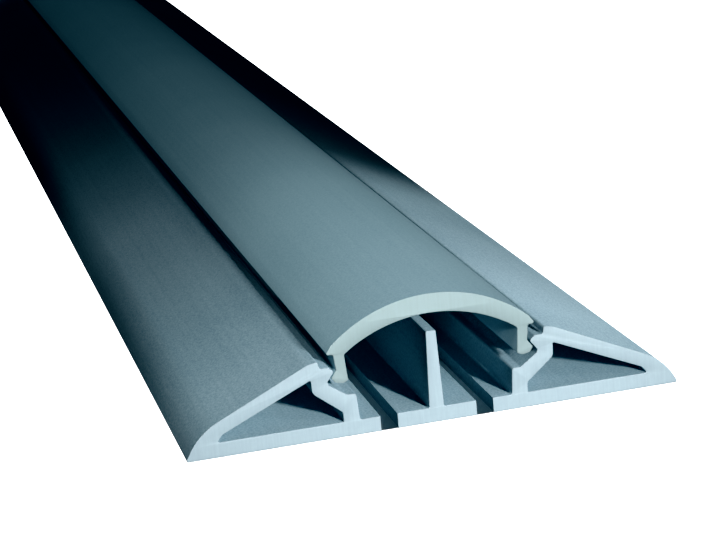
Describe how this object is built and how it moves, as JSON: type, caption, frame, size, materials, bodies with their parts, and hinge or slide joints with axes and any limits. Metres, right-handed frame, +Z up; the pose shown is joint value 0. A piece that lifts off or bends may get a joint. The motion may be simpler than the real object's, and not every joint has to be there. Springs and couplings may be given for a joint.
{
  "type": "cable protector",
  "caption": "Low floor strip with hollow sloping sides, a cable channel on each side of a divider, and a domed snap-in lid.",
  "frame": {"origin": "middle of the underside, on the floor, below the divider", "axes": "+Y along the strip, towards the far cut end; +X across it; +Z up from the floor"},
  "size_m": [0.1, 1, 0.0261],
  "materials": {
    "base_pvc": "matte grey-blue extruded plastic with a fine grain",
    "lid_pvc": "matte grey-blue extruded plastic with a fine grain, slightly greener than the base"
  },
  "bodies": {
    "base": {"base": "base_pvc"},
    "lid": {"lid": "lid_pvc"}
  },
  "joints": [
    {"name": "lid_lift", "type": "slide", "parent": "base", "child": "lid", "axis": [0, 0, 1], "range_m": [0, 0.06]}
  ]
}
